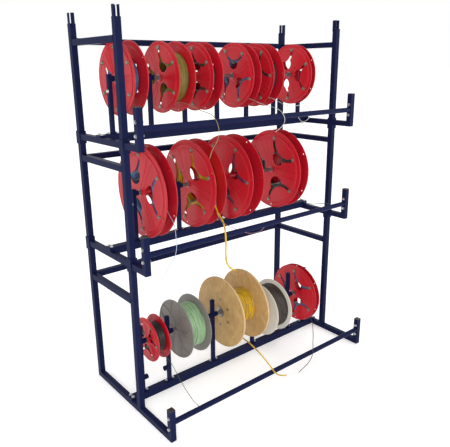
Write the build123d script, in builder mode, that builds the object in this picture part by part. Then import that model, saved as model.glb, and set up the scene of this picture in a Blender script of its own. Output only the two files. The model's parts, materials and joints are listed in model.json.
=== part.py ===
"""Three-tier wire spool rack with fifteen wire spools on fixed axles.

Millimetres. +X runs along the rack, +Y to its back and +Z up. The origin is on
the floor, under the middle of the rack's outline.
"""
import os
from math import cos, pi, radians, sin, sqrt, tan

from build123d import *

# ---- frame ----
rack_width = 1450.0        # between post centres, along X
rack_depth = 450.0         # between post centres, along Y
rack_height = 2000.0
tube = 30.0                # side of the square tube
wall = 2.0
prong_height = 48.0
prong_thickness = 5.0
prong_depth = 16.0
hook_height = 60.0
hook_width = 16.0
hook_thickness = 8.0
sleeve_wall = 4.0
arm_reach_low = 290.0      # front post centre to holder centre, bottom tier
arm_reach_high = 136.0     # the same, middle and top tiers
holder_height_low = 174.0
holder_height_high = 193.0
guide_diameter = 28.0
guide_rise = 98.0          # guide bar centre above the underside of its arm
beam = 40.0                # side of the square tube that carries the uprights
cap_thickness = 4.0
bolt_head = 13.0           # across the flats
bolt_head_height = 5.5
washer_diameter = 17.0
washer_thickness = 1.5

# ---- heights of the rails' undersides ----
rail_top_3 = 1849.0
rail_low_3 = 1394.0
rail_top_2 = 1285.0
rail_low_2 = 817.0
rail_top_1 = 624.0
rail_low_1 = 0.0
rear_rails = [1855.0, 1282.0, 625.0]

# ---- uprights and axles ----
upright = 20.0
upright_wall = 1.5
axle_diameter = 20.0
bore_clearance = 0.05      # radial, spool bore on axle
cup_diameter = 28.0
cup_clearance = 0.05       # radial, axle end in its cup
collar_diameter = 32.0
collar_length = 5.0
collar_gap = 0.5           # between a collar and the end of a hub
foot_length = 64.0
foot_width = 34.0
foot_thickness = 3.0
foot_bolt_offset = 22.0

# tier: beam underside, beam centre behind the front posts, top of the uprights,
# cup length, then each upright with the axle heights of its left and right cups
tiers = {
    "top": (1394.0, 229.0, 1712.0, 14.0, [
        (66, [], [1695]), (288, [1695], [1695]), (500, [1695], [1695]),
        (721, [1695], [1695]), (941, [1695], [1695]), (1164, [1695], [1695]),
        (1384, [1695], [])]),
    "middle": (828.0, 217.0, 1140.0, 14.0, [
        (153, [], [1122]), (430, [1122], [1122]), (725, [1122], [1122]),
        (989, [1122], [1122]), (1290, [1122], [])]),
    "bottom": (0.0, 99.0, 434.0, 22.0, [
        (72, [], [342, 123]), (245, [342, 123], [342]), (562, [342], [342]),
        (881, [342], [257]), (1200, [257], [280]), (1352, [280], [])]),
}

# spool: tier, kind, upright on its left, outer faces of its flanges along X,
# flange radius, winding radius, core radius
spools = {
    "t1": ("top", "red", 0, 104, 178, 177.5, 96, 72),
    "t2": ("top", "red", 1, 352, 450, 177.5, 124, 72),
    "t3": ("top", "red", 2, 561, 629, 177.5, 112, 72),
    "t4": ("top", "red", 3, 840, 897, 177.5, 118, 72),
    "t5": ("top", "red", 4, 993, 1075, 177.5, 122, 72),
    "t6": ("top", "red", 5, 1306, 1341, 177.5, 140, 118),
    "m1": ("middle", "red", 0, 198, 262, 245, 158, 104),
    "m2": ("middle", "red", 1, 503, 576, 245, 166, 104),
    "m3": ("middle", "red", 2, 765, 850, 247, 160, 104),
    "m4": ("middle", "red", 3, 1150, 1222, 245, 176, 104),
    "b1": ("bottom", "red", 0, 115, 186, 123, 84, 44),
    "b2": ("bottom", "grey", 1, 302, 426, 168, 126, 62),
    "b3": ("bottom", "ply", 2, 622, 822, 216, 104, 70),
    "b4": ("bottom", "pale", 3, 944, 1066, 169, 142, 66),
    "b5": ("bottom", "red", 4, 1266, 1300, 192, 134, 84),
}
hub_radius = 22.0
boss_length = 3.0          # hub standing out of a flange
seam = 0.4                 # between the two halves of a spool
flange_thickness = {"red": 4.0, "grey": 6.0, "ply": 12.0, "pale": 5.0}
rim_width = 6.0
rim_extra = 2.0            # rim standing out of the flange, each side
groove_inset = 0.28        # of the radius, outer edge to the raised ring
window_centre = 0.40       # of the flange radius
window_radius = 0.20
tab_centre = 0.89
tab_radius = 0.405
window_turn = {"t4": -24, "t5": 30, "t6": 65, "m1": 60, "m2": 12, "m3": 30, "m4": 6, "b1": 30}  # degrees, from +Y

# ---- placing ----
half_width = rack_width / 2
front_y = (arm_reach_low - rack_depth) / 2
back_y = front_y + rack_depth
r_tube = tube / 2
post_top = rack_height - prong_height


def at_x(x):
    """X in the rack's frame, from a distance right of the left posts."""
    return x - half_width


def tube_x(x0, x1, y, z, side, thickness):
    """Square tube along X. z is its underside."""
    with BuildSketch(Plane.YZ.offset(x0)) as face:
        with Locations((y, z + side / 2)):
            Rectangle(side, side)
            Rectangle(side - 2 * thickness, side - 2 * thickness, mode=Mode.SUBTRACT)
    extrude(face.sketch, amount=x1 - x0)


def tube_y(x, y0, y1, z, side, thickness):
    """Square tube along Y. z is its underside."""
    with BuildSketch(Plane.XZ.offset(-y1)) as face:
        with Locations((x, z + side / 2)):
            Rectangle(side, side)
            Rectangle(side - 2 * thickness, side - 2 * thickness, mode=Mode.SUBTRACT)
    extrude(face.sketch, amount=y1 - y0)


def tube_z(x, y, z0, z1, side, thickness):
    """Square tube along Z."""
    with BuildSketch(Plane.XY.offset(z0)) as face:
        with Locations((x, y)):
            Rectangle(side, side)
            Rectangle(side - 2 * thickness, side - 2 * thickness, mode=Mode.SUBTRACT)
    extrude(face.sketch, amount=z1 - z0)


def block(x0, x1, y0, y1, z0, z1):
    with Locations(((x0 + x1) / 2, (y0 + y1) / 2, (z0 + z1) / 2)):
        Box(x1 - x0, y1 - y0, z1 - z0)


def rod_x(x0, x1, y, z, radius, mode=Mode.ADD):
    with BuildSketch(Plane.YZ.offset(x0)) as face:
        with Locations((y, z)):
            Circle(radius)
    extrude(face.sketch, amount=x1 - x0, mode=mode)


def ring_x(x0, x1, y, z, outer, inner):
    with BuildSketch(Plane.YZ.offset(x0)) as face:
        with Locations((y, z)):
            Circle(outer)
            Circle(inner, mode=Mode.SUBTRACT)
    extrude(face.sketch, amount=x1 - x0)


def bolt_z(x, y, z):
    """Washer and hexagon head on an upward face."""
    with BuildSketch(Plane.XY.offset(z)) as face:
        with Locations((x, y)):
            Circle(washer_diameter / 2)
    extrude(face.sketch, amount=washer_thickness)
    with BuildSketch(Plane.XY.offset(z + washer_thickness)) as face:
        with Locations((x, y)):
            RegularPolygon(bolt_head / 2, 6, major_radius=False)
    extrude(face.sketch, amount=bolt_head_height)


def bolt_x(x, y, z, out):
    """Washer and hexagon head on a face looking along X. out is 1 or -1."""
    plane = Plane(origin=(x, y, z), x_dir=(0, out, 0), z_dir=(out, 0, 0))
    with BuildSketch(plane) as face:
        Circle(washer_diameter / 2)
    extrude(face.sketch, amount=washer_thickness)
    with BuildSketch(plane.offset(washer_thickness)) as face:
        RegularPolygon(bolt_head / 2, 6, major_radius=False)
    extrude(face.sketch, amount=bolt_head_height)


os.makedirs("parts", exist_ok=True)


def save(builder, name):
    builder.part.label = name
    export_step(builder.part, f"parts/{name}.step")


# ---- posts, each one a tube with two prongs and a hook plate at the top ----
for side_name, side in (("left", -1), ("right", 1)):
    with BuildPart() as posts:
        for y, inward in ((front_y, 1), (back_y, -1)):
            x = side * half_width
            tube_z(x, y, 0, post_top, tube, wall)
            for edge in (-1, 1):
                inner = x + edge * (r_tube - prong_thickness)
                outer = x + edge * r_tube
                block(min(inner, outer), max(inner, outer),
                      y - prong_depth / 2, y + prong_depth / 2, post_top, rack_height)
            face = y + inward * r_tube
            tip = face + inward * hook_thickness
            block(x - hook_width / 2, x + hook_width / 2, min(face, tip), max(face, tip),
                  rack_height - hook_height, rack_height)
    save(posts, f"posts_{side_name}")

sleeve_face = r_tube + sleeve_wall
sleeves = [(rail_low_3 - 22, rail_low_3 + tube + 12), (rail_low_2 - 20, rail_low_2 + tube + 20)]
with BuildPart() as stack_sleeves:
    for x in (-half_width, half_width):
        for y in (front_y, back_y):
            for z0, z1 in sleeves:
                tube_z(x, y, z0, z1, 2 * sleeve_face, sleeve_wall)
save(stack_sleeves, "stack_sleeves")

# ---- rails from front to back, and the arms in front of the posts ----
side_rails = [(rail_top_3, r_tube), (rail_low_3, sleeve_face), (rail_top_2, r_tube),
              (rail_low_2, sleeve_face), (rail_top_1, r_tube), (rail_low_1, r_tube)]
for side_name, side in (("left", -1), ("right", 1)):
    with BuildPart() as rails:
        for z, start in side_rails:
            tube_y(side * half_width, front_y + start, back_y - start, z, tube, wall)
    save(rails, f"side_rails_{side_name}")

with BuildPart() as rails_rear:
    for z in rear_rails:
        tube_x(-half_width + r_tube, half_width - r_tube, back_y, z, tube, wall)
save(rails_rear, "rear_rails")

arms = [(rail_low_3, sleeve_face, arm_reach_high, holder_height_high),
        (rail_low_2, sleeve_face, arm_reach_high, holder_height_high),
        (rail_low_1, r_tube, arm_reach_low, holder_height_low)]
with BuildPart() as arm_tubes:
    for x in (-half_width, half_width):
        for z, start, reach, height in arms:
            tube_y(x, front_y - reach + r_tube, front_y - start, z, tube, wall)
save(arm_tubes, "arms")

with BuildPart() as holders:
    for x in (-half_width, half_width):
        for z, start, reach, height in arms:
            tube_z(x, front_y - reach, z, z + height - cap_thickness, tube, wall)
save(holders, "guide_holders")

with BuildPart() as caps:
    for x in (-half_width, half_width):
        for z, start, reach, height in arms:
            block(x - r_tube, x + r_tube, front_y - reach - r_tube, front_y - reach + r_tube,
                  z + height - cap_thickness, z + height)
save(caps, "end_caps")

with BuildPart() as guides:
    for z, start, reach, height in arms:
        ring_x(-half_width + r_tube, half_width - r_tube, front_y - reach, z + guide_rise,
               guide_diameter / 2, guide_diameter / 2 - wall)
save(guides, "guide_bars")

with BuildPart() as holder_bolts:
    for side in (-1, 1):
        for z, start, reach, height in arms:
            for dz in (-30, 30):
                for out in (-1, 1):
                    bolt_x(side * half_width + out * r_tube, front_y - reach, z + guide_rise + dz, out)
save(holder_bolts, "holder_bolts")

# ---- beams, their end brackets, and the uprights ----
with BuildPart() as beams:
    for z, dy, top, cup, ups in tiers.values():
        y = front_y + dy
        tube_x(-half_width + r_tube, half_width - r_tube, y, z, beam, wall)
save(beams, "spool_beams")

bracket_tops = {"top": rail_low_3 + tube, "middle": rail_low_2 + tube, "bottom": rail_low_1 + tube}
with BuildPart() as brackets:
    for tier, (z, dy, top, cup, ups) in tiers.items():
        y = front_y + dy
        for side in (-1, 1):
            x = side * half_width
            block(x - r_tube, x + r_tube, y - beam / 2 - 4, y + beam / 2 + 4,
                  bracket_tops[tier], z + beam)
save(brackets, "beam_brackets")

for tier, (z, dy, top, cup, ups) in tiers.items():
    y = front_y + dy
    with BuildPart() as uprights:
        for x, left_cups, right_cups in ups:
            block(at_x(x) - foot_length / 2, at_x(x) + foot_length / 2,
                  y - foot_width / 2, y + foot_width / 2, z + beam, z + beam + foot_thickness)
            tube_z(at_x(x), y, z + beam + foot_thickness, top, upright, upright_wall)
            block(at_x(x) - upright / 2, at_x(x) + upright / 2,
                  y - upright / 2, y + upright / 2, top, top + cap_thickness)
            for cups, out in ((left_cups, -1), (right_cups, 1)):
                for cup_z in cups:
                    near = at_x(x) + out * upright / 2
                    far = near + out * cup
                    ring_x(min(near, far), max(near, far), y, cup_z,
                           cup_diameter / 2, axle_diameter / 2 + cup_clearance)
    save(uprights, f"uprights_{tier}")

with BuildPart() as foot_bolts:
    for tier, (z, dy, top, cup, ups) in tiers.items():
        y = front_y + dy
        for x, left_cups, right_cups in ups:
            for dx in (-foot_bolt_offset, foot_bolt_offset):
                bolt_z(at_x(x) + dx, y, z + beam + foot_thickness)
        for side in (-1, 1):
            for offset in (-13, 13):
                bolt_z(side * half_width, y + offset, z + beam)
save(foot_bolts, "foot_bolts")

# ---- axles, with a collar at each end of the hub ----
for tier, (z, dy, top, cup, ups) in tiers.items():
    y = front_y + dy
    with BuildPart() as axles:
        for name, (where, kind, left, x0, x1, *sizes) in spools.items():
            if where != tier:
                continue
            axle_z = ups[left][2][0]
            rod_x(at_x(ups[left][0]) + upright / 2, at_x(ups[left + 1][0]) - upright / 2,
                  y, axle_z, axle_diameter / 2)
            for hub_end, out in ((at_x(x0) - boss_length, -1), (at_x(x1) + boss_length, 1)):
                near = hub_end + out * collar_gap
                far = near + out * collar_length
                ring_x(min(near, far), max(near, far), y, axle_z,
                       collar_diameter / 2, axle_diameter / 2)
    save(axles, f"axles_{tier}")

# ---- spools: two halves with a seam in the hub, and the winding ----
for name, (tier, kind, left, x0, x1, radius, winding, core) in spools.items():
    z, dy, top, cup, ups = tiers[tier]
    y = front_y + dy
    axle_z = ups[left][2][0]
    thick = flange_thickness[kind]
    middle = (at_x(x0) + at_x(x1)) / 2
    barrel = hub_radius if kind == "red" else core
    with BuildPart() as flanges:
        for outer, out in ((at_x(x0), -1), (at_x(x1), 1)):
            inner = outer - out * thick
            ring_x(min(outer, inner), max(outer, inner), y, axle_z,
                   radius, axle_diameter / 2 + bore_clearance)
            tip = outer + out * boss_length
            ring_x(min(outer, tip), max(outer, tip), y, axle_z,
                   hub_radius, axle_diameter / 2 + bore_clearance)
            end = middle + out * seam / 2
            ring_x(min(inner, end), max(inner, end), y, axle_z,
                   barrel, axle_diameter / 2 + bore_clearance)
            if kind in ("red", "grey"):
                rim_out = outer + out * rim_extra
                ring_x(min(outer, rim_out), max(outer, rim_out), y, axle_z,
                       radius, radius - rim_width)
        if kind == "red":
            for k in range(3):
                angle = radians(window_turn.get(name, 0) + 120 * k)
                cy, cz = cos(angle), sin(angle)
                with BuildSketch(Plane.YZ.offset(at_x(x0) - 20)) as face:
                    with Locations((y + window_centre * radius * cy,
                                    axle_z + window_centre * radius * cz)):
                        Circle(window_radius * radius)
                    with Locations((y + tab_centre * radius * cy,
                                    axle_z + tab_centre * radius * cz)):
                        Circle(tab_radius * radius, mode=Mode.SUBTRACT)
                extrude(face.sketch, amount=x1 - x0 + 40, mode=Mode.SUBTRACT)
    save(flanges, f"spool_{name}_flanges")
    with BuildPart() as coil:
        start = core if kind == "red" else barrel
        ring_x(at_x(x0) + thick, at_x(x1) - thick, y, axle_z, winding, start)
    save(coil, f"spool_{name}_winding")

# ---- loose wire ends: diameter, then the route, in the rack's frame ----
cords = {
    "tail_t2_green": (3.0, [
        (-287, 149, 1568.9), (-286.9, 102.8, 1569), (-288.2, 56.7, 1567.6), (-290.7, 11, 1561.1),
        (-294.3, -33.8, 1550.7), (-299.2, -78.8, 1541.7), (-305.2, -124.3, 1536.2),
        (-311, -169.9, 1532), (-315.8, -214.8, 1523.2), (-316.8, -246, 1491), (-307.4, -248.8, 1446.4),
        (-319, -245.3, 1402.9), (-347.9, -239.5, 1367.4), (-363, -238, 1324)]),
    "tail_t4_white": (3.0, [
        (145, 149, 1574.9), (145, 100.9, 1574.9), (144.3, 52.8, 1573.4), (143.1, 5.4, 1565),
        (141.6, -41.1, 1552.5), (140, -88.2, 1543.1), (137.6, -136, 1537.7), (133.8, -183.6, 1532),
        (132.7, -228.2, 1515.5), (139.8, -249.2, 1474.4), (113.7, -248.1, 1437.9), (70, -245, 1418)]),
    "tail_t5_silver": (3.0, [
        (325, 149, 1570.9), (325, 102.8, 1570.9), (325.4, 56.6, 1569.3), (327.9, 12.3, 1557),
        (341.8, -26.1, 1536.3), (375.8, -52.5, 1521), (420.5, -61.6, 1523.8), (466.5, -62.2, 1526.9),
        (511.7, -61.6, 1518.2), (551.2, -58.2, 1495.1), (557.8, -52, 1453.9), (523.1, -47.1, 1425.3),
        (477.8, -45.1, 1425.4), (453, -45, 1462)]),
    "tail_m1_blue": (3.0, [
        (-485, -23.1, 1122), (-485.3, -24.7, 1076.4), (-493.5, -59, 1047.2), (-508.6, -101.5, 1036.5),
        (-526.5, -144.3, 1034.3), (-545, -186.6, 1028.7), (-563, -223.8, 1008.5),
        (-574.5, -245.4, 969.8), (-574.5, -247.8, 923.5), (-588.4, -247, 879.8),
        (-622.5, -245.9, 848.4), (-645, -244, 808)]),
    "tail_m2_yellow": (9.0, [
        (-185, -34.1, 1122), (-187.1, -40.9, 1048.3), (-203.1, -93, 999.9), (-227.8, -161.8, 983.4),
        (-257.3, -222.9, 953.5), (-274, -248.9, 886.7), (-277.5, -247.4, 811.8),
        (-256.8, -242.6, 741.6), (-193, -232, 706)]),
    "tail_m2_pink": (3.0, [
        (-165, -31.4, 1122), (-165, -31.3, 1074.9), (-164.9, -32.7, 1027.8), (-165.1, -40, 981.4),
        (-160.9, -60.3, 939.7), (-143.7, -97.6, 917.8), (-122.9, -137.9, 905.3),
        (-97.4, -173.6, 889.1), (-55.5, -187.3, 874.3), (-9, -188.5, 867.7), (37.6, -186.8, 872.6),
        (75, -184, 900)]),
    "tail_m4_black": (4.0, [
        (465, -41.6, 1122), (465, -41.6, 1076.4), (465.4, -42.2, 1030.8), (468.5, -49.7, 986.1),
        (479.9, -70.4, 947.7), (506.7, -100.6, 927.8), (546.9, -120.2, 921.4), (591.6, -128.8, 919),
        (636.5, -134.1, 913.7), (680, -135.8, 900.8), (715, -138, 872)]),
    "tail_b1_green": (3.0, [
        (-549, 19, 255.9), (-549, -30.6, 255.9), (-546.1, -78.5, 247.4), (-533.4, -106.1, 209.1),
        (-520.8, -122.3, 164), (-513.8, -149.8, 123.7), (-514, -191.5, 97.6), (-520.7, -239.3, 86.8),
        (-532.9, -287.2, 87.8), (-549.2, -331.4, 102.7), (-562, -376, 120)]),
    "tail_b3_yellow": (8.0, [
        (-75, 19, 233.6), (-75, -61, 233.6), (-73.9, -140.8, 230.9), (-63.7, -216.8, 209.1),
        (-52.3, -286.9, 172.2), (-55.5, -359.5, 139.6), (-47, -414.8, 89.7), (27, -410, 66)]),
    "tail_b5_black": (4.0, [
        (559, 19, 143.6), (558.7, -28.7, 143.6), (560.2, -76.4, 143.2), (550.8, -122.7, 140.7),
        (524.7, -162.3, 137.2), (491.3, -196.3, 135.9), (456, -228.3, 136.2), (421.2, -261, 137.6),
        (386, -293.1, 139.9), (349.4, -323.5, 142.9), (312.8, -353.9, 146.2), (277.7, -385.5, 143),
        (254.6, -406.2, 108.3), (223.5, -409.4, 73.3), (181.6, -406.4, 50.8), (137, -404, 34)]),
}


def bend_radius(a, b, c):
    """The radius that takes 0.45 of the shorter run beside corner b."""
    into, out = (b - a), (c - b)
    turn = into.get_angle(out)
    return 0.45 * min(into.length, out.length) / tan(radians(turn) / 2)


for name, (diameter, route) in cords.items():
    points = [Vector(p) for p in route]
    radii = [bend_radius(*points[i:i + 3]) for i in range(len(points) - 2)]
    edges = []
    here = points[0]
    for i, radius in enumerate(radii):
        corner = points[i + 1]
        into = (corner - points[i]).normalized()
        out = (points[i + 2] - corner).normalized()
        setback = radius * tan(radians(into.get_angle(out)) / 2)
        first, last = corner - into * setback, corner + out * setback
        bisector = (out - into).normalized()
        to_centre = sqrt(radius ** 2 + setback ** 2)
        middle_point = corner + bisector * (to_centre - radius)
        edges += [Edge.make_line(here, first), Edge.make_three_point_arc(first, middle_point, last)]
        here = last
    edges.append(Edge.make_line(here, points[-1]))
    path = Wire(edges)
    with BuildPart() as tail:
        with BuildSketch(Plane(origin=path @ 0, z_dir=path % 0)) as face:
            Circle(diameter / 2)
        sweep(face.sketch, path=path, transition=Transition.ROUND)
    save(tail, name)
    print(name, "length", round(path.length, 1), "least bend radius", round(min(radii), 1),
          "volume against section times length",
          round(tail.part.volume / (pi * diameter ** 2 / 4 * path.length), 4))
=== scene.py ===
import json
import random
from math import acos, cos, degrees, pi, radians, sin, sqrt

import bmesh
import bpy
from mathutils import Matrix, Vector


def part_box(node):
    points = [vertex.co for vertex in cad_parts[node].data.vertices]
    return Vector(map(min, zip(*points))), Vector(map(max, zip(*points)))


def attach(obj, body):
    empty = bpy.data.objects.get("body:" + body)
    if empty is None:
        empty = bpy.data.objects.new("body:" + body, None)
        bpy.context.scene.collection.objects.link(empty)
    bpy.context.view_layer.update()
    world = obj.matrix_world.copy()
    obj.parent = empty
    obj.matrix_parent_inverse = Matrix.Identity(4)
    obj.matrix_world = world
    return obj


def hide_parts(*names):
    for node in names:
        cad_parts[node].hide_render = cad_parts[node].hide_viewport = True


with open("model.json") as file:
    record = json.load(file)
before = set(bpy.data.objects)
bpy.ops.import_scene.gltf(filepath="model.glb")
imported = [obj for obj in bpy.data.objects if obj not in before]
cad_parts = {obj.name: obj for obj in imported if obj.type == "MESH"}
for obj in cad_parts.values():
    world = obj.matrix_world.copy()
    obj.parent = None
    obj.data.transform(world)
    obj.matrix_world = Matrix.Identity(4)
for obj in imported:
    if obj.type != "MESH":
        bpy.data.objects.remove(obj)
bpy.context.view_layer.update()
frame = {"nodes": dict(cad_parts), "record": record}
scene = bpy.context.scene
chance = random.Random(7)

# ---- camera ----
camera = {
    "place": (-1.86564, -2.17901, 1.74393),  # metres
    "right": (0.77087611, -0.63692021, -0.00909263),
    "up": (0.19083206, 0.21730162, 0.95726858),
    "back": (-0.60772786, -0.73967064, 0.28905742),
    "lens": 41.504,
}


def setCamera():
    data = bpy.data.cameras.new("rackCamera")
    data.lens = camera["lens"]
    data.sensor_width = 36.0
    data.sensor_fit = "HORIZONTAL"
    data.clip_end = 600.0
    eye = bpy.data.objects.new("rackCamera", data)
    columns = (camera["right"], camera["up"], camera["back"], camera["place"])
    eye.matrix_world = Matrix([[column[row] for column in columns] for row in range(3)] + [[0, 0, 0, 1]])
    scene.collection.objects.link(eye)
    scene.camera = eye


setCamera()
print("camera set")


# ---- shader helpers ----
def addNode(tree, kind, **values):
    node = tree.nodes.new(kind)
    for name, value in values.items():
        if hasattr(node, name):
            setattr(node, name, value)
        else:
            node.inputs[name.replace("_", " ")].default_value = value
    return node


def newGroup(name, inputs, outputs):
    group = bpy.data.node_groups.new(name, "ShaderNodeTree")
    for label, kind, value in inputs:
        group.interface.new_socket(name=label, in_out="INPUT", socket_type=kind).default_value = value
    for label, kind in outputs:
        group.interface.new_socket(name=label, in_out="OUTPUT", socket_type=kind)
    return group, group.nodes.new("NodeGroupInput"), group.nodes.new("NodeGroupOutput")


def unevenFinish():
    # broad tone changes, fine grain and a roughness that follows them
    group, inlet, outlet = newGroup("unevenFinish", [
        ("Color", "NodeSocketColor", (0.5, 0.5, 0.5, 1)), ("Tone", "NodeSocketColor", (0.4, 0.4, 0.4, 1)),
        ("Scale", "NodeSocketFloat", 12.0), ("Amount", "NodeSocketFloat", 0.5),
        ("Low", "NodeSocketFloat", 0.3), ("High", "NodeSocketFloat", 0.5)],
        [("Color", "NodeSocketColor"), ("Roughness", "NodeSocketFloat"), ("Height", "NodeSocketFloat")])
    place = addNode(group, "ShaderNodeTexCoord")
    broad = addNode(group, "ShaderNodeTexNoise", Detail=4.0)
    fine = addNode(group, "ShaderNodeTexNoise", Scale=900.0, Detail=2.0)
    amount = addNode(group, "ShaderNodeMath", operation="MULTIPLY")
    mix = addNode(group, "ShaderNodeMix", data_type="RGBA")
    rough = addNode(group, "ShaderNodeMapRange")
    link = group.links.new
    link(place.outputs["Object"], broad.inputs["Vector"])
    link(place.outputs["Object"], fine.inputs["Vector"])
    link(inlet.outputs["Scale"], broad.inputs["Scale"])
    link(broad.outputs["Fac"], amount.inputs[0])
    link(inlet.outputs["Amount"], amount.inputs[1])
    link(amount.outputs[0], mix.inputs["Factor"])
    link(inlet.outputs["Color"], mix.inputs["A"])
    link(inlet.outputs["Tone"], mix.inputs["B"])
    link(broad.outputs["Fac"], rough.inputs["Value"])
    link(inlet.outputs["Low"], rough.inputs["To Min"])
    link(inlet.outputs["High"], rough.inputs["To Max"])
    link(mix.outputs["Result"], outlet.inputs["Color"])
    link(rough.outputs["Result"], outlet.inputs["Roughness"])
    link(fine.outputs["Fac"], outlet.inputs["Height"])
    return group


def scuffMarks():
    # thin broken streaks where things have rubbed
    group, inlet, outlet = newGroup("scuffMarks", [
        ("Scale", "NodeSocketFloat", 60.0), ("Width", "NodeSocketFloat", 0.66)],
        [("Mask", "NodeSocketFloat")])
    place = addNode(group, "ShaderNodeTexCoord")
    stretch = addNode(group, "ShaderNodeMapping")
    stretch.inputs["Scale"].default_value = (1.0, 1.0, 0.22)
    noise = addNode(group, "ShaderNodeTexNoise", Detail=6.0, Roughness=0.7)
    edge = addNode(group, "ShaderNodeMapRange")
    edge.inputs["From Max"].default_value = 0.82
    link = group.links.new
    link(place.outputs["Object"], stretch.inputs["Vector"])
    link(stretch.outputs["Vector"], noise.inputs["Vector"])
    link(inlet.outputs["Scale"], noise.inputs["Scale"])
    link(noise.outputs["Fac"], edge.inputs["Value"])
    link(inlet.outputs["Width"], edge.inputs["From Min"])
    link(edge.outputs["Result"], outlet.inputs["Mask"])
    return group


def paintedTurnShade():
    # painted shade: darker where turns of wire meet, and in broken lines along them; the lines are partly
    # painted shade between turns and partly tone that differs from turn to turn
    group, inlet, outlet = newGroup("paintedTurnShade", [
        ("Color", "NodeSocketColor", (0.5, 0.5, 0.5, 1)), ("Depth", "NodeSocketFloat", 0.75)],
        [("Color", "NodeSocketColor")])
    place = addNode(group, "ShaderNodeTexCoord")
    along = addNode(group, "ShaderNodeMapping")
    along.inputs["Scale"].default_value = (1.0, 0.035, 0.035)
    lines = addNode(group, "ShaderNodeTexNoise", Scale=210.0, Detail=3.0)
    streak = addNode(group, "ShaderNodeMapRange")
    streak.inputs["From Min"].default_value = 0.50
    streak.inputs["From Max"].default_value = 0.40
    streak.inputs["To Max"].default_value = 0.85
    either = addNode(group, "ShaderNodeMath", operation="MAXIMUM")
    # mask of the hollows between turns, where the shade is painted
    shape = addNode(group, "ShaderNodeNewGeometry")
    hollow = addNode(group, "ShaderNodeMapRange")
    hollow.inputs["From Min"].default_value = 0.52
    hollow.inputs["From Max"].default_value = 0.44
    strength = addNode(group, "ShaderNodeMath", operation="MULTIPLY")
    mix = addNode(group, "ShaderNodeMix", data_type="RGBA")
    mix.inputs["B"].default_value = (0.004, 0.004, 0.004, 1)
    link = group.links.new
    link(shape.outputs["Pointiness"], hollow.inputs["Value"])
    link(place.outputs["Object"], along.inputs["Vector"])
    link(along.outputs["Vector"], lines.inputs["Vector"])
    link(lines.outputs["Fac"], streak.inputs["Value"])
    link(hollow.outputs["Result"], either.inputs[0])
    link(streak.outputs["Result"], either.inputs[1])
    link(either.outputs[0], strength.inputs[0])
    link(inlet.outputs["Depth"], strength.inputs[1])
    link(strength.outputs[0], mix.inputs["Factor"])
    link(inlet.outputs["Color"], mix.inputs["A"])
    link(mix.outputs["Result"], outlet.inputs["Color"])
    return group


effects = {"uneven": unevenFinish(), "scuff": scuffMarks(), "turns": paintedTurnShade()}


def finish(name, color, tone, scale=12.0, amount=0.6, low=0.3, high=0.5, metallic=0.0,
           gloss=0.5, ior=1.5, bump=0.06, scuff=None, scuffScale=60.0, scuffWidth=0.66, turnDepth=0.0):
    material = bpy.data.materials.new(name)
    material.use_nodes = True
    tree = material.node_tree
    shader = tree.nodes["Principled BSDF"]
    uneven = addNode(tree, "ShaderNodeGroup", node_tree=effects["uneven"])
    uneven.inputs["Color"].default_value = (*color, 1)
    uneven.inputs["Tone"].default_value = (*tone, 1)
    uneven.inputs["Scale"].default_value = scale
    uneven.inputs["Amount"].default_value = amount
    uneven.inputs["Low"].default_value = low
    uneven.inputs["High"].default_value = high
    shade = uneven.outputs["Color"]
    if scuff:
        marks = addNode(tree, "ShaderNodeGroup", node_tree=effects["scuff"])
        marks.inputs["Scale"].default_value = scuffScale
        marks.inputs["Width"].default_value = scuffWidth
        mix = addNode(tree, "ShaderNodeMix", data_type="RGBA")
        mix.inputs["B"].default_value = (*scuff, 1)
        tree.links.new(marks.outputs["Mask"], mix.inputs["Factor"])
        tree.links.new(shade, mix.inputs["A"])
        shade = mix.outputs["Result"]
    # painted shade between the turns of wire
    if turnDepth:
        between = addNode(tree, "ShaderNodeGroup", node_tree=effects["turns"])
        between.inputs["Depth"].default_value = turnDepth
        tree.links.new(shade, between.inputs["Color"])
        shade = between.outputs["Color"]
    relief = addNode(tree, "ShaderNodeBump", Strength=bump, Distance=0.0006)
    tree.links.new(shade, shader.inputs["Base Color"])
    tree.links.new(uneven.outputs["Roughness"], shader.inputs["Roughness"])
    tree.links.new(uneven.outputs["Height"], relief.inputs["Height"])
    tree.links.new(relief.outputs["Normal"], shader.inputs["Normal"])
    shader.inputs["Metallic"].default_value = metallic
    shader.inputs["Specular IOR Level"].default_value = gloss
    shader.inputs["IOR"].default_value = ior
    return material


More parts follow.
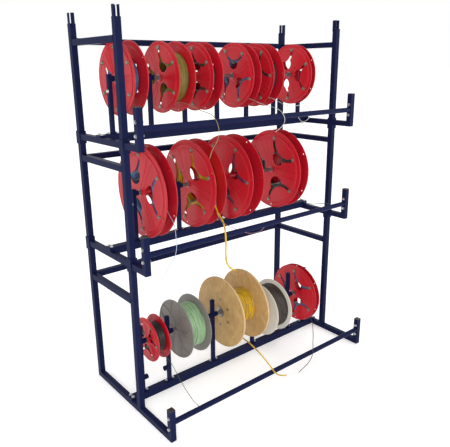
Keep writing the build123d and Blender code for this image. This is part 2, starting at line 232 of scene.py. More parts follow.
def plywoodFinish(name):
    # face veneer with long grain, and the plies showing on the edge
    material = bpy.data.materials.new(name)
    material.use_nodes = True
    tree = material.node_tree
    link = tree.links.new
    shader = tree.nodes["Principled BSDF"]
    place = addNode(tree, "ShaderNodeTexCoord")
    stretch = addNode(tree, "ShaderNodeMapping")
    stretch.inputs["Scale"].default_value = (1.0, 1.0, 0.12)
    grain = addNode(tree, "ShaderNodeTexNoise", Scale=160.0, Detail=8.0, Roughness=0.62)
    figure = addNode(tree, "ShaderNodeTexNoise", Scale=14.0, Detail=3.0, Distortion=0.8)
    ramp = addNode(tree, "ShaderNodeValToRGB")
    ramp.color_ramp.elements[0].color = (0.33, 0.19, 0.062, 1)
    ramp.color_ramp.elements[1].color = (0.56, 0.36, 0.14, 1)
    ramp.color_ramp.elements[0].position = 0.3
    ramp.color_ramp.elements[1].position = 0.66
    add = addNode(tree, "ShaderNodeMath", operation="ADD")
    half = addNode(tree, "ShaderNodeMath", operation="MULTIPLY")
    half.inputs[1].default_value = 0.5
    plies = addNode(tree, "ShaderNodeTexWave", Scale=120.0)
    plies.bands_direction = "X"
    facing = addNode(tree, "ShaderNodeNewGeometry")
    split = addNode(tree, "ShaderNodeSeparateXYZ")
    size = addNode(tree, "ShaderNodeMath", operation="ABSOLUTE")
    onEdge = addNode(tree, "ShaderNodeMath", operation="LESS_THAN")
    onEdge.inputs[1].default_value = 0.5
    bands = addNode(tree, "ShaderNodeMath", operation="MULTIPLY")
    mix = addNode(tree, "ShaderNodeMix", data_type="RGBA")
    mix.inputs["B"].default_value = (0.62, 0.46, 0.26, 1)
    relief = addNode(tree, "ShaderNodeBump", Strength=0.18, Distance=0.0008)
    link(place.outputs["Object"], stretch.inputs["Vector"])
    link(stretch.outputs["Vector"], grain.inputs["Vector"])
    link(place.outputs["Object"], figure.inputs["Vector"])
    link(grain.outputs["Fac"], add.inputs[0])
    link(figure.outputs["Fac"], add.inputs[1])
    link(add.outputs[0], half.inputs[0])
    link(half.outputs[0], ramp.inputs["Fac"])
    link(place.outputs["Object"], plies.inputs["Vector"])
    link(facing.outputs["Normal"], split.inputs["Vector"])
    link(split.outputs["X"], size.inputs[0])
    link(size.outputs[0], onEdge.inputs[0])
    link(onEdge.outputs[0], bands.inputs[0])
    link(plies.outputs["Fac"], bands.inputs[1])
    link(bands.outputs[0], mix.inputs["Factor"])
    link(ramp.outputs["Color"], mix.inputs["A"])
    link(mix.outputs["Result"], shader.inputs["Base Color"])
    link(grain.outputs["Fac"], relief.inputs["Height"])
    link(relief.outputs["Normal"], shader.inputs["Normal"])
    shader.inputs["Roughness"].default_value = 0.62
    return material


finishes = {
    "navy_paint": finish("navyPaint", (0.0060, 0.0088, 0.040), (0.0105, 0.0145, 0.055), scale=9, low=0.30,
                         high=0.48, gloss=0.3, ior=1.16, bump=0.1, scuff=(0.035, 0.045, 0.10), scuffWidth=0.72),
    "zinc": finish("zincPlate", (0.58, 0.58, 0.60), (0.34, 0.33, 0.30), scale=90, low=0.22, high=0.4,
                   metallic=1.0, bump=0.1),
    "steel": finish("axleSteel", (0.26, 0.24, 0.24), (0.13, 0.12, 0.13), scale=60, low=0.3, high=0.5,
                    metallic=0.8, bump=0.12, scuff=(0.4, 0.4, 0.42), scuffScale=120),
    "fixing_steel": finish("fixingSteel", (0.36, 0.34, 0.28), (0.12, 0.13, 0.09), scale=110, amount=1.0,
                           low=0.3, high=0.55, metallic=0.75, bump=0.2),
    "hub_steel": finish("hubSteel", (0.42, 0.39, 0.35), (0.13, 0.11, 0.09), scale=110, amount=1.0,
                        low=0.3, high=0.5, metallic=0.8, bump=0.2),
    "black_plastic": finish("capPlastic", (0.018, 0.012, 0.010), (0.035, 0.026, 0.022), low=0.45,
                            high=0.6, bump=0.2),
    "red_plastic": finish("redPlastic", (0.58, 0.008, 0.020), (0.36, 0.005, 0.014), scale=7,
                          amount=0.9, low=0.22, high=0.40, gloss=0.34, bump=0.05,
                          scuff=(0.62, 0.10, 0.10), scuffWidth=0.70),
    "grey_plastic": finish("greyPlastic", (0.20, 0.185, 0.165), (0.12, 0.112, 0.10), scale=16, low=0.4,
                           high=0.6, bump=0.2, scuff=(0.34, 0.32, 0.29)),
    "pale_plastic": finish("palePlastic", (0.66, 0.64, 0.57), (0.50, 0.48, 0.42), scale=10, low=0.4,
                           high=0.6, bump=0.1, scuff=(0.4, 0.38, 0.34), scuffWidth=0.72),
    "plywood": plywoodFinish("plywoodFace"),
}
wireColors = {  # colour, darker tone
    "wire_blue": ((0.085, 0.17, 0.34), (0.05, 0.10, 0.22)),
    "wire_green": ((0.25, 0.19, 0.018), (0.17, 0.12, 0.010)),
    "wire_dark_green": ((0.025, 0.06, 0.035), (0.012, 0.03, 0.018)),
    "wire_brown": ((0.062, 0.040, 0.030), (0.03, 0.02, 0.016)),
    "wire_black": ((0.012, 0.016, 0.015), (0.03, 0.034, 0.03)),
    "wire_purple": ((0.16, 0.07, 0.17), (0.08, 0.035, 0.09)),
    "wire_yellow": ((0.76, 0.46, 0.002), (0.55, 0.31, 0.002)),
    "wire_mint": ((0.34, 0.55, 0.29), (0.24, 0.39, 0.205)),
    "wire_white": ((0.66, 0.65, 0.60), (0.48, 0.47, 0.43)),
}
# windings get painted shade between their turns
for label, (color, tone) in wireColors.items():
    finishes[label] = finish(label.replace("wire_", "insulation"), color, tone, scale=45, amount=0.9,
                             low=0.3, high=0.48, bump=0.08, turnDepth=0.7)
tailColors = {  # single wires that look paler than their winding
    "tail_tan": ((0.30, 0.21, 0.09), (0.20, 0.14, 0.05)),
    "tail_ice": ((0.38, 0.46, 0.60), (0.24, 0.30, 0.42)),
    "tail_rose": ((0.34, 0.16, 0.24), (0.20, 0.09, 0.15)),
}
for label, (color, tone) in tailColors.items():
    finishes[label] = finish(label.replace("_", "Wire"), color, tone, scale=45, low=0.3, high=0.48)
print("finishes made")


# ---- loose wire ends ----
tails = {  # slot, diameter and real length in metres, route in millimetres
    "tail_t2_green": ("wire_green", 0.003, 0.5919, [
        (-287, 149, 1568.9), (-286.9, 102.8, 1569), (-288.2, 56.7, 1567.6), (-290.7, 11, 1561.1),
        (-294.3, -33.8, 1550.7), (-299.2, -78.8, 1541.7), (-305.2, -124.3, 1536.2),
        (-311, -169.9, 1532), (-315.8, -214.8, 1523.2), (-316.8, -246, 1491), (-307.4, -248.8, 1446.4),
        (-319, -245.3, 1402.9), (-347.9, -239.5, 1367.4), (-363, -238, 1324)]),
    "tail_t4_white": ("wire_white", 0.003, 0.5180, [
        (145, 149, 1574.9), (145, 100.9, 1574.9), (144.3, 52.8, 1573.4), (143.1, 5.4, 1565),
        (141.6, -41.1, 1552.5), (140, -88.2, 1543.1), (137.6, -136, 1537.7), (133.8, -183.6, 1532),
        (132.7, -228.2, 1515.5), (139.8, -249.2, 1474.4), (113.7, -248.1, 1437.9), (70, -245, 1418)]),
    "tail_t5_silver": ("wire_white", 0.003, 0.5763, [
        (325, 149, 1570.9), (325, 102.8, 1570.9), (325.4, 56.6, 1569.3), (327.9, 12.3, 1557),
        (341.8, -26.1, 1536.3), (375.8, -52.5, 1521), (420.5, -61.6, 1523.8), (466.5, -62.2, 1526.9),
        (511.7, -61.6, 1518.2), (551.2, -58.2, 1495.1), (557.8, -52, 1453.9), (523.1, -47.1, 1425.3),
        (477.8, -45.1, 1425.4), (453, -45, 1462)]),
    "tail_m1_blue": ("wire_blue", 0.003, 0.5000, [
        (-485, -23.1, 1122), (-485.3, -24.7, 1076.4), (-493.5, -59, 1047.2), (-508.6, -101.5, 1036.5),
        (-526.5, -144.3, 1034.3), (-545, -186.6, 1028.7), (-563, -223.8, 1008.5),
        (-574.5, -245.4, 969.8), (-574.5, -247.8, 923.5), (-588.4, -247, 879.8),
        (-622.5, -245.9, 848.4), (-645, -244, 808)]),
    "tail_m2_yellow": ("wire_yellow", 0.009, 0.5791, [
        (-185, -34.1, 1122), (-187.1, -40.9, 1048.3), (-203.1, -93, 999.9), (-227.8, -161.8, 983.4),
        (-257.3, -222.9, 953.5), (-274, -248.9, 886.7), (-277.5, -247.4, 811.8),
        (-256.8, -242.6, 741.6), (-193, -232, 706)]),
    "tail_m2_pink": ("wire_purple", 0.003, 0.5100, [
        (-165, -31.4, 1122), (-165, -31.3, 1074.9), (-164.9, -32.7, 1027.8), (-165.1, -40, 981.4),
        (-160.9, -60.3, 939.7), (-143.7, -97.6, 917.8), (-122.9, -137.9, 905.3),
        (-97.4, -173.6, 889.1), (-55.5, -187.3, 874.3), (-9, -188.5, 867.7), (37.6, -186.8, 872.6),
        (75, -184, 900)]),
    "tail_m4_black": ("wire_black", 0.004, 0.4503, [
        (465, -41.6, 1122), (465, -41.6, 1076.4), (465.4, -42.2, 1030.8), (468.5, -49.7, 986.1),
        (479.9, -70.4, 947.7), (506.7, -100.6, 927.8), (546.9, -120.2, 921.4), (591.6, -128.8, 919),
        (636.5, -134.1, 913.7), (680, -135.8, 900.8), (715, -138, 872)]),
    "tail_b1_green": ("wire_dark_green", 0.003, 0.4883, [
        (-549, 19, 255.9), (-549, -30.6, 255.9), (-546.1, -78.5, 247.4), (-533.4, -106.1, 209.1),
        (-520.8, -122.3, 164), (-513.8, -149.8, 123.7), (-514, -191.5, 97.6), (-520.7, -239.3, 86.8),
        (-532.9, -287.2, 87.8), (-549.2, -331.4, 102.7), (-562, -376, 120)]),
    "tail_b3_yellow": ("wire_yellow", 0.008, 0.5407, [
        (-75, 19, 233.6), (-75, -61, 233.6), (-73.9, -140.8, 230.9), (-63.7, -216.8, 209.1),
        (-52.3, -286.9, 172.2), (-55.5, -359.5, 139.6), (-47, -414.8, 89.7), (27, -410, 66)]),
    "tail_b5_black": ("wire_black", 0.004, 0.7084, [
        (559, 19, 143.6), (558.7, -28.7, 143.6), (560.2, -76.4, 143.2), (550.8, -122.7, 140.7),
        (524.7, -162.3, 137.2), (491.3, -196.3, 135.9), (456, -228.3, 136.2), (421.2, -261, 137.6),
        (386, -293.1, 139.9), (349.4, -323.5, 142.9), (312.8, -353.9, 146.2), (277.7, -385.5, 143),
        (254.6, -406.2, 108.3), (223.5, -409.4, 73.3), (181.6, -406.4, 50.8), (137, -404, 34)]),
}
tailLooks = {"tail_t2_green": "tail_tan", "tail_m1_blue": "tail_ice", "tail_m2_pink": "tail_rose"}


def layTail(name, slotName, diameter, route):
    curve = bpy.data.curves.new(name + "Line", "CURVE")
    curve.dimensions = "3D"
    curve.bevel_depth = diameter / 2
    curve.bevel_resolution = 4
    curve.resolution_u = 10
    curve.use_fill_caps = True
    spline = curve.splines.new("NURBS")
    spline.points.add(len(route) - 1)
    for point, place in zip(spline.points, route):
        point.co = (*(v / 1000 for v in place), 1)
    spline.order_u = 3
    spline.use_endpoint_u = True
    curve.materials.append(finishes[tailLooks.get(name, slotName)])
    piece = bpy.data.objects.new(name + "_wire", curve)
    scene.collection.objects.link(piece)
    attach(piece, "rack")
    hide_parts(name)


for name, (slotName, diameter, length, route) in tails.items():
    layTail(name, slotName, diameter, route)
print("loose wire ends laid")


# ---- mesh helpers: each gives (vertices, faces), in metres, with X along the axle ----
def lathe(profile, centre, segments=72, closed=True, phase=0.0):
    # profile is (x, radius); an open one is capped flat at both ends
    verts, faces, count = [], [], len(profile)
    for k in range(segments):
        angle = phase + 2 * pi * k / segments
        for x, r in profile:
            verts.append((centre[0] + x, centre[1] + r * cos(angle), centre[2] + r * sin(angle)))
    for k in range(segments):
        here, there = k * count, ((k + 1) % segments) * count
        for j in range(count if closed else count - 1):
            after = (j + 1) % count
            faces.append((here + j, here + after, there + after, there + j))
    if not closed:
        faces.append(tuple(k * count for k in range(segments)))
        faces.append(tuple(k * count + count - 1 for k in reversed(range(segments))))
    return verts, faces


def about(axle, x, r, a):
    # the point at radius r and angle a round an axle
    return (x, axle[1] + r * cos(a), axle[2] + r * sin(a))


def turned(along, across, a):
    return along * cos(a) - across * sin(a), along * sin(a) + across * cos(a)


def punchedPlate(outline, holes, x, thickness, centre, bevel=0.0006):
    # flat plate across the axle, outline and holes in (y, z) about centre
    curve = bpy.data.curves.new("plate", "CURVE")
    curve.dimensions = "2D"
    curve.fill_mode = "BOTH"
    curve.extrude = thickness / 2 - bevel
    curve.bevel_depth = bevel
    curve.bevel_resolution = 1
    curve.offset = -bevel
    for loop in [outline, *holes]:
        spline = curve.splines.new("POLY")
        spline.points.add(len(loop) - 1)
        for point, (y, z) in zip(spline.points, loop):
            point.co = (y, z, 0, 1)
        spline.use_cyclic_u = True
    holder = bpy.data.objects.new("plate", curve)
    scene.collection.objects.link(holder)
    mesh = bpy.data.meshes.new_from_object(holder.evaluated_get(bpy.context.evaluated_depsgraph_get()))
    verts = [(centre[0] + x + v.co.z, centre[1] + v.co.x, centre[2] + v.co.y) for v in mesh.vertices]
    faces = [tuple(p.vertices) for p in mesh.polygons]
    bpy.data.objects.remove(holder)
    bpy.data.curves.remove(curve)
    bpy.data.meshes.remove(mesh)
    return verts, faces


def circle(radius, segments=96, y=0.0, z=0.0):
    return [(y + radius * cos(2 * pi * k / segments), z + radius * sin(2 * pi * k / segments))
            for k in range(segments)]


def loopTube(points, radius, sides=8, closed=True):
    # round tube through the points
    verts, faces, count = [], [], len(points)
    for k, point in enumerate(points):
        here = Vector(point)
        before = Vector(points[k - 1] if closed or k else points[0])
        after = Vector(points[(k + 1) % count] if closed or k < count - 1 else points[-1])
        along = (after - before).normalized()
        side = along.cross(Vector((1, 0, 0)))
        if side.length < 0.05:
            side = along.cross(Vector((0, 0, 1)))
        side.normalize()
        top = side.cross(along)
        for j in range(sides):
            angle = 2 * pi * j / sides
            verts.append(tuple(here + radius * (cos(angle) * side + sin(angle) * top)))
    for k in range(count if closed else count - 1):
        a, b = k * sides, ((k + 1) % count) * sides
        for j in range(sides):
            m = (j + 1) % sides
            faces.append((a + j, a + m, b + m, b + j))
    if not closed:
        faces.append(tuple(range(sides))[::-1])
        faces.append(tuple(range((count - 1) * sides, count * sides)))
    return verts, faces


def boltHead(place, out, across=0.013, height=0.0055, washer=0.0085):
    # washer and chamfered hexagon on a face that looks along X; out is 1 or -1
    flat = across / sqrt(3)
    disc = [(0, washer), (out * 0.0012, washer), (out * 0.0016, washer - 0.0005), (out * 0.0016, 0.001)]
    head = [(0.0, flat), (out * height * 0.8, flat), (out * height, flat * 0.86), (out * height, 0.001)]
    head = [(x + out * 0.0016, r) for x, r in head]
    return [lathe(disc, place, 24, closed=False), lathe(head, place, 6, closed=False, phase=pi / 6)]


def makePiece(name, chunks, slotName, body, stands=(), smooth=38, look=None):
    verts, faces = [], []
    for chunkVerts, chunkFaces in chunks:
        base = len(verts)
        verts.extend(chunkVerts)
        faces.extend(tuple(base + i for i in face) for face in chunkFaces)
    mesh = bpy.data.meshes.new(name)
    mesh.from_pydata(verts, [], faces)
    mesh.validate()
    mesh.shade_smooth()
    mesh.set_sharp_from_angle(angle=radians(smooth))
    mesh.materials.append(finishes[look or slotName])
    piece = bpy.data.objects.new(name, mesh)
    scene.collection.objects.link(piece)
    fixNormals(piece)
    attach(piece, body)
    if stands:
        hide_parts(*stands)
    return piece


def fixNormals(piece):
    work = bmesh.new()
    work.from_mesh(piece.data)
    bmesh.ops.recalc_face_normals(work, faces=work.faces)
    work.to_mesh(piece.data)
    work.free()


# ---- spools ----
spools = {  # kind, winding slot, wire diameter mm, turn of the windows in degrees, neatness 0 to 1
    "t1": ("red", "wire_blue", 3.4, 0, 0.6), "t2": ("red", "wire_green", 4.2, 0, 0.8),
    "t3": ("red", "wire_brown", 3.6, 0, 0.5), "t4": ("red", "wire_blue", 3.4, -24, 0.5),
    "t5": ("red", "wire_black", 3.4, 30, 0.5), "t6": ("red", "wire_purple", 3.2, 65, 0.5),
    "m1": ("red", "wire_blue", 3.8, 60, 0.5), "m2": ("red", "wire_yellow", 9.0, 12, 0.6),
    "m3": ("red", "wire_purple", 4.0, 30, 0.5), "m4": ("red", "wire_black", 4.6, 6, 0.4),
    "b1": ("red", "wire_black", 3.6, 30, 0.4), "b2": ("grey", "wire_mint", 4.6, 0, 1.0),
    "b3": ("ply", "wire_yellow", 8.0, 0, 0.7), "b4": ("pale", "wire_brown", 4.0, 0, 0.2),
    "b5": ("red", "wire_blue", 3.6, 0, 0.3),
}
hubBore = 0.01035  # over a 20 mm axle
redSpool = {  # metres where the name is a thickness or a size, else shares of the radius
    "skin": 0.0030, "smallSkin": 0.0026,
    "step": 0.87,          # of the radius, where the middle stands out
    "lift": 0.0026,        # how far it stands out
    "rim": 0.0034,         # half the width of the rolled rim
    "smallBelow": 0.15,    # metres; flanges under this radius have thinner skin and smaller bolts
    "boltSize": 0.015, "smallBolt": 0.011,
    "plainFar": {"t6": 0.235}, "plainPlace": 0.44,  # round openings in one far flange
    "tabCentre": 0.89, "tabRadius": 0.407, "windowCentre": 0.40, "windowRadius": 0.20,
    "legRadius": 0.487, "boltRadius": 0.447, "boltAngle": 65,
    "legReach": {-1: 57, 1: 38},          # most degrees, by the side that the flange faces
    "legShow": {-1: 0.07, 1: -0.02},      # how far past the winding a leg may run
    "rimHoles": 6, "rimHolePlace": 0.93, "rimHoleRadius": 0.017,
}


def legEnd(radius, outer, spec, out):
    # how far round the tab a leg runs before it would show past the winding
    tab, leg = spec["tabCentre"], (spec["tabRadius"] + spec["legRadius"]) / 2
    show = outer / radius + spec["legShow"][out]
    bend = (tab * tab + leg * leg - show * show) / (2 * tab * leg)
    return min(spec["legReach"][out], degrees(acos(bend)))


def windowLoop(radius, angle, spec, reach):
    # horseshoe round a tab: a wide mouth near the hub and two legs that end at the bolts
    middle = spec["tabCentre"] * radius
    gap = (spec["tabCentre"] - spec["windowCentre"]) * radius
    big = spec["windowRadius"] * radius
    loop, steps, reach = [], 44, radians(reach)
    for k in range(steps + 1):
        a = -reach + 2 * reach * k / steps
        under = big * big - (gap * sin(a)) ** 2
        wide = gap * cos(a) + sqrt(under) if under > 0 else 0
        loop.append((a, max(wide, spec["legRadius"] * radius)))
    loop += [(a, spec["tabRadius"] * radius) for a in
             [reach - 2 * reach * k / steps for k in range(steps + 1)]]
    return [turned(middle - r * cos(a), r * sin(a), angle) for a, r in loop]


def redFlange(centre, out, radius, turn, outer, wide):
    # one moulded flange; centre is on the axle at its outer face, out is 1 or -1
    spec = redSpool
    skin = spec["skin"] if radius > spec["smallBelow"] else spec["smallSkin"]
    step = spec["step"] * radius
    bore, overlap = hubBore, 0.003
    angles = [radians(turn + 120 * k) for k in range(3)]
    openings = [windowLoop(radius, a, spec, legEnd(radius, outer, spec, out)) for a in angles]
    if wide:
        place = spec["plainPlace"] * radius
        openings = [circle(wide * radius, 48, place * cos(a), place * sin(a)) for a in angles]
    holeAt, firstHole = spec["rimHolePlace"] * radius, radians(turn + 25)
    holeAngles = [firstHole + 2 * pi * k / spec["rimHoles"] for k in range(spec["rimHoles"])]
    hole = spec["rimHoleRadius"] * radius
    rimHoles = [circle(hole, 16, holeAt * cos(a), holeAt * sin(a)) for a in holeAngles]
    middle = [circle(bore, 32), *openings]
    edge = [circle(step - overlap, 96), *rimHoles]
    chunks = [punchedPlate(circle(step), middle, out * (spec["lift"] - skin / 2), skin, centre),
              punchedPlate(circle(radius - overlap), edge, -out * skin / 2, skin, centre)]
    rim = [(-out * 0.0015 + spec["rim"] * cos(a) * 0.9, radius - spec["rim"] + spec["rim"] * sin(a))
           for a in [2 * pi * k / 12 for k in range(12)]]
    chunks.append(lathe(rim, centre, 96))
    ridge = [(-out * 0.002, step - 0.006), (out * 0.0010, step + 0.004), (out * 0.0036, step + 0.0005),
             (out * 0.0040, step - 0.0035), (out * 0.0028, step - 0.0075), (-out * 0.0008, step - 0.009)]
    chunks.append(lathe(ridge, centre, 96))
    hub = [(-out * 0.004, bore), (out * 0.0050, bore), (out * 0.0056, bore + 0.0014), (out * 0.0052, 0.019),
           (out * 0.0030, 0.0245), (out * 0.0016, 0.031), (-out * 0.002, 0.031), (-out * 0.004, 0.022)]
    chunks.append(lathe(hub, centre, 48))
    for a in angles:  # two thin ribs either side of each spoke
        spoke = a + pi / 3
        for offset in (-0.05, 0.05):
            path, face = [], centre[0] + out * (spec["lift"] + 0.0002)
            for k in range(9):
                r = 0.030 + (step - 0.038) * k / 8
                y, z = turned(r, offset * radius * (1 + 0.9 * (k / 8) ** 2), spoke)
                path.append((face, centre[1] + y, centre[2] + z))
            chunks.append(loopTube(path, 0.0016, 6, closed=False))
    return chunks


def redBolts(centre, out, radius, turn):
    # bolts at the ends of the window legs
    spec, chunks = redSpool, []
    face = centre[0] + out * (spec["lift"] + 0.0001)
    big = spec["boltSize"] if radius > spec["smallBelow"] else spec["smallBolt"]
    for k in range(3):
        a = radians(turn + 120 * k)
        for side in (-1, 1):
            b = side * radians(spec["boltAngle"])
            along = spec["tabCentre"] * radius - spec["boltRadius"] * radius * cos(b)
            across = spec["boltRadius"] * radius * sin(b)
            y, z = turned(along, across, a)
            chunks += boltHead((face, centre[1] + y, centre[2] + z), out, big, big * 0.5, big * 0.72)
    return chunks


def coreBars(axle, left, right, radius):
    # six rods between the flanges, which the wire is wound on
    chunks = []
    for k in range(6):
        a = radians(30 + 60 * k)
        rod = [(left, 0.0042), (right, 0.0042)]
        chunks.append(lathe(rod, about(axle, 0, radius, a), 16, closed=False))
    return chunks


def wound(axle, left, right, inner, outer, wire, neat):
    # the wire as it lies: turns side by side outside, layers on both sides
    width = right - left
    turns, layers = max(3, round(width / wire)), max(2, round((outer - inner) / wire))
    across, deep = width / turns, (outer - inner) / layers
    segments, fine = 84, 4
    rows = []  # each is (x, radius, which side, turn number)
    for j in range(layers):
        for k in range(fine):
            t = (k + 0.5) / fine
            rows.append((left + 0.4 * across - 0.4 * across * sin(pi * t), inner + (j + t) * deep, -1, j))
    for i in range(turns):
        for k in range(fine):
            t = (k + 0.5) / fine
            rows.append((left + (i + t) * across, outer - 0.42 * across + 0.42 * across * sin(pi * t), 0, i))
    for j in reversed(range(layers)):
        for k in range(fine):
            t = 1 - (k + 0.5) / fine
            rows.append((right - 0.4 * across + 0.4 * across * sin(pi * t), inner + (j + t) * deep, 1, j))
    loose = 1 - neat
    slump = [(chance.uniform(-1, 1), chance.uniform(0, 2 * pi), chance.uniform(0, 2 * pi))
             for _ in range(turns)]
    verts, faces, count = [], [], len(rows)
    for s in range(segments):
        a = 2 * pi * s / segments
        for x, r, side, i in rows:
            if side == 0:
                size, p, q = slump[i]
                ends = min(1.0, 4 * min(x - left, right - x) / width)
                r += wire * loose * (0.55 * size - 0.95 + 0.35 * sin(a + p) + 0.25 * sin(2 * a + q))
                x += across * (0.30 + 0.5 * loose) * ends * sin(a + 0.9 * p * loose)
            verts.append(about(axle, x, r, a))
    for s in range(segments):
        here, there = s * count, ((s + 1) % segments) * count
        for j in range(count):
            after = (j + 1) % count
            faces.append((here + j, here + after, there + after, there + j))
    chunks = [(verts, faces)]
    crossing = round(2 + 7 * loose) if width > 0.04 else round(1 + 3 * loose)
    for _ in range(crossing):  # turns that lie across the others
        reach = chance.uniform(0.2, 0.42) * width
        shift = chance.uniform(-0.5, 0.5) * (width - 2 * reach - wire) * 0.9
        p, path = chance.uniform(0, 2 * pi), []
        for k in range(72):
            a = 2 * pi * k / 72
            x = (left + right) / 2 + shift + reach * sin(a + p)
            x = min(max(x, left + wire * 0.6), right - wire * 0.6)
            r = outer - wire * 0.60 + wire * 0.08 * sin(3 * a + p)
            path.append(about(axle, x, r, a))
        chunks.append(loopTube(path, wire / 2, 8))
    return chunks


def plateProfile(out, radius, bore, skin, edge):
    # cross-section of a plain flange with rounded edges, outer face at 0
    return [(0, bore), (0, radius - edge), (-out * edge * 0.3, radius - edge * 0.3), (-out * edge, radius),
            (-out * (skin - edge), radius), (-out * (skin - edge * 0.3), radius - edge * 0.3),
            (-out * skin, radius - edge), (-out * skin, bore)]


def greyFlange(centre, out, radius):
    # thin moulded disc with a raised rim, a hub and ribs that curve outwards
    chunks = [lathe(plateProfile(out, radius, hubBore, 0.005, 0.0016), centre, 96)]
    rim = [(0, radius - 0.008), (out * 0.0019, radius - 0.0068), (out * 0.0019, radius - 0.0014), (0, radius)]
    chunks.append(lathe([*rim, (-out * 0.002, radius - 0.004)], centre, 96))
    hub = [(-out * 0.002, 0.0104), (out * 0.0045, 0.0104), (out * 0.0045, 0.019), (out * 0.003, 0.024),
           (-out * 0.001, 0.027)]
    chunks.append(lathe(hub, centre, 48))
    for k in range(6):
        base = 2 * pi * k / 6
        for lean in (-1, 1):
            path = []
            for j in range(12):
                t = j / 11
                a, r = base + lean * 0.34 * t * t, 0.026 + (radius - 0.038) * t
                path.append(about(centre, centre[0] + out * 0.0006, r, a))
            chunks.append(loopTube(path, 0.0042, 8, closed=False))
    return chunks


def plyFlange(centre, out, radius):
    return [lathe(plateProfile(out, radius, hubBore, 0.012, 0.0012), centre, 96)]


def paleFlange(centre, out, radius):
    chunks = [lathe(plateProfile(out, radius, hubBore, 0.005, 0.0016), centre, 96)]
    for place in (0.30, 0.93):
        ring = [(-out * 0.001, place * radius - 0.003), (out * 0.0014, place * radius - 0.0015),
                (out * 0.0014, place * radius + 0.0015), (-out * 0.001, place * radius + 0.003)]
        chunks.append(lathe(ring, centre, 96))
    hub = [(-out * 0.002, 0.0104), (out * 0.0045, 0.0104), (out * 0.0045, 0.020), (-out * 0.001, 0.026)]
    chunks.append(lathe(hub, centre, 48))
    return chunks


flangeSlots = {"red": "red_plastic", "grey": "grey_plastic", "ply": "plywood", "pale": "pale_plastic"}
coreRadius = {"b1": 0.044, "b2": 0.062, "b3": 0.070, "b4": 0.066, "b5": 0.084, "t6": 0.118}  # metres
coreShare = {"t": 0.42, "m": 0.425}  # of the flange radius, for the other spools of a tier
boss = 0.003  # how far each hub stands out


def buildSpool(name, kind, slotName, wire, turn, neat):
    low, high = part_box(f"spool_{name}_flanges")
    coilLow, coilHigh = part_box(f"spool_{name}_winding")
    middle = (low + high) / 2
    radius, outer = (high.z - low.z) / 2, (coilHigh.z - coilLow.z) / 2
    left, right = low.x + boss, high.x - boss
    inner = coreRadius.get(name) or coreShare[name[0]] * radius
    body = f"spool_{name}"
    axle = (0, middle.y, middle.z)
    chunks, bolts = [], []
    for x, out in ((left, -1), (right, 1)):
        centre = (x, middle.y, middle.z)
        if kind == "red":
            wide = redSpool["plainFar"].get(name, 0.0) if out > 0 else 0.0
            chunks += redFlange(centre, out, radius, turn, outer, wide)
            bolts += redBolts(centre, out, radius, turn)
        else:
            chunks += {"grey": greyFlange, "ply": plyFlange, "pale": paleFlange}[kind](centre, out, radius)
        if kind == "ply":
            for k in range(6):
                a = radians(30 + 60 * k)
                bolts += boltHead(about(centre, x, 0.38 * radius, a), out, 0.010, 0.0028, 0.0085)
            plate = [(0, 0.0104), (out * 0.003, 0.0104), (out * 0.003, 0.030), (out * 0.002, 0.032), (0, 0.032)]
            bolts.append(lathe(plate, centre, 48))
    if kind == "red":
        tube = [(left, hubBore), (left, 0.0215), (right, 0.0215), (right, hubBore)]
        chunks.append(lathe(tube, axle, 48))
        bolts += coreBars(axle, left + 0.001, right - 0.001, inner - 0.0045)
    else:
        start, end = left + 0.001, right - 0.001
        core = [(start, hubBore), (start, inner), (end, inner), (end, hubBore)]
        chunks.append(lathe(core, axle, 72))
    makePiece(f"flanges_{name}", chunks, flangeSlots[kind], body, [f"spool_{name}_flanges"])
    if bolts:
        makePiece(f"fixings_{name}", bolts, "steel" if kind == "red" else "zinc", body,
                  look="fixing_steel" if kind == "red" else "hub_steel")
    turns = wound(axle, coilLow.x + 0.0006, coilHigh.x - 0.0006, inner, outer, wire / 1000, neat)
    makePiece(f"winding_{name}", turns, slotName, body, [f"spool_{name}_winding"], smooth=60)


for name, (kind, slotName, wire, turn, neat) in spools.items():
    buildSpool(name, kind, slotName, wire, turn, neat)
print("spools wound")


# ---- frame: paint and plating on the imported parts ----
for node, piece in frame["nodes"].items():
    if node.startswith("tail_") or node.endswith(("_flanges", "_winding")):
        continue
    slotName = next(s["material_slot"] for s in frame["record"]["subparts"] if s["node"] == node)
    piece.data.materials.clear()
    piece.data.materials.append(finishes[slotName])
print("frame painted")


# ---- welds where tubes meet ----
weld = {
    "bead": 0.0021, "tube": 0.030, "step": 0.0042,
    "sideRails": (1.849, 1.285, 0.624),  # undersides of the rails from front to back
    "rearRails": (1.855, 1.282, 0.625),
}


def weldSquare(centre, axis, half):
    # a rippled bead round the end of a square tube; axis is 0 for X, 1 for Y
    corners = [(-half, -half), (half, -half), (half, half), (-half, half)]
    path = []
    for k in range(4):
        (a0, b0), (a1, b1) = corners[k], corners[(k + 1) % 4]
        steps = max(2, round(2 * half / weld["step"]))
        for j in range(steps):
            t = j / steps
            ripple = chance.uniform(-0.0004, 0.0004)
            a, b = a0 + (a1 - a0) * t + ripple, b0 + (b1 - b0) * t + ripple
            path.append((centre[0], centre[1] + a, centre[2] + b) if axis == 0
                        else (centre[0] + a, centre[1], centre[2] + b))
    return loopTube(path, weld["bead"], 6)


def weldAll():
    chunks, half = [], weld["tube"] / 2
    leftLow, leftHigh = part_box("posts_left")
    rightLow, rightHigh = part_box("posts_right")
    railXs = [(leftLow.x + leftHigh.x) / 2, (rightLow.x + rightHigh.x) / 2]
    frontY, backY = leftLow.y + half, leftHigh.y - half
    for x in railXs:
        for z in weld["sideRails"]:
            for y, side in ((frontY, 1), (backY, -1)):
                chunks.append(weldSquare((x, y + side * half, z + half), 1, half))
    for z in weld["rearRails"]:
        for x, side in ((railXs[0], 1), (railXs[1], -1)):
            chunks.append(weldSquare((x + side * half, backY, z + half), 0, half))
    return chunks


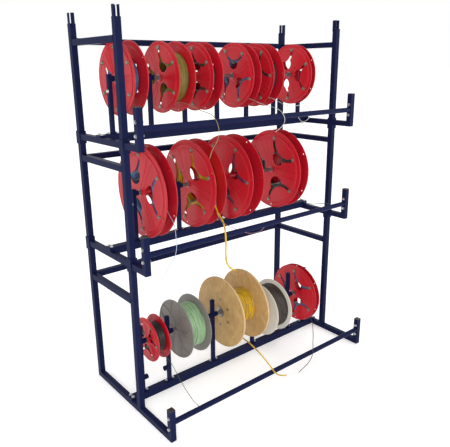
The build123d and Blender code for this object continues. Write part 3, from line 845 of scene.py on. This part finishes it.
makePiece("weld_beads", weldAll(), "navy_paint", "rack", smooth=70)


# ---- bolts on the first uprights ----
studs = {"uprights_top": 0.079, "uprights_middle": 0.077}  # metres below the upright's top
studInset = 0.022


def uprightBolts():
    chunks = []
    for node, drop in studs.items():
        low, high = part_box(node)
        place = (low.x + studInset, (low.y + high.y) / 2, high.z - drop)
        chunks += boltHead(place, -1, 0.013, 0.0060, 0.0095)
    return chunks


makePiece("upright_bolts", uprightBolts(), "zinc", "rack")
print("hardware fitted")


# ---- floor and light ----
stage = {
    "floorSize": 400, "floorDrop": 0.0005, "floorTone": 0.97, "floorGlow": 0.24, "sky": 1.0,
    "lamps": {  # place, size and power
        "keyLight": ((-2.6, -3.4, 1.7), 1.4, 62),
        "fillLight": ((2.8, -2.6, 2.2), 2.4, 25),
    },
}


def setStage():
    bpy.ops.mesh.primitive_plane_add(size=stage["floorSize"], location=(0, 0, -stage["floorDrop"]))
    floor = bpy.context.object
    floor.name = "floor"
    white = bpy.data.materials.new("paleFloor")
    white.use_nodes = True
    shader = white.node_tree.nodes["Principled BSDF"]
    shader.inputs["Base Color"].default_value = (*[stage["floorTone"]] * 3, 1)
    shader.inputs["Roughness"].default_value = 0.95
    shader.inputs["Emission Color"].default_value = (1, 1, 1, 1)
    shader.inputs["Emission Strength"].default_value = stage["floorGlow"]
    floor.data.materials.append(white)
    world = bpy.data.worlds.new("studio")
    scene.world = world
    world.use_nodes = True
    sky = world.node_tree.nodes["Background"]
    sky.inputs["Color"].default_value = (1, 1, 1, 1)
    sky.inputs["Strength"].default_value = stage["sky"]
    for label, (place, size, power) in stage["lamps"].items():
        lamp = bpy.data.lights.new(label, "AREA")
        lamp.energy, lamp.size = power, size
        holder = bpy.data.objects.new(label, lamp)
        holder.location = place
        holder.rotation_euler = (Vector((0, 0, 1.0)) - Vector(place)).to_track_quat("-Z", "Y").to_euler()
        scene.collection.objects.link(holder)
    scene.view_settings.view_transform = "Standard"


setStage()
print("stage lit")
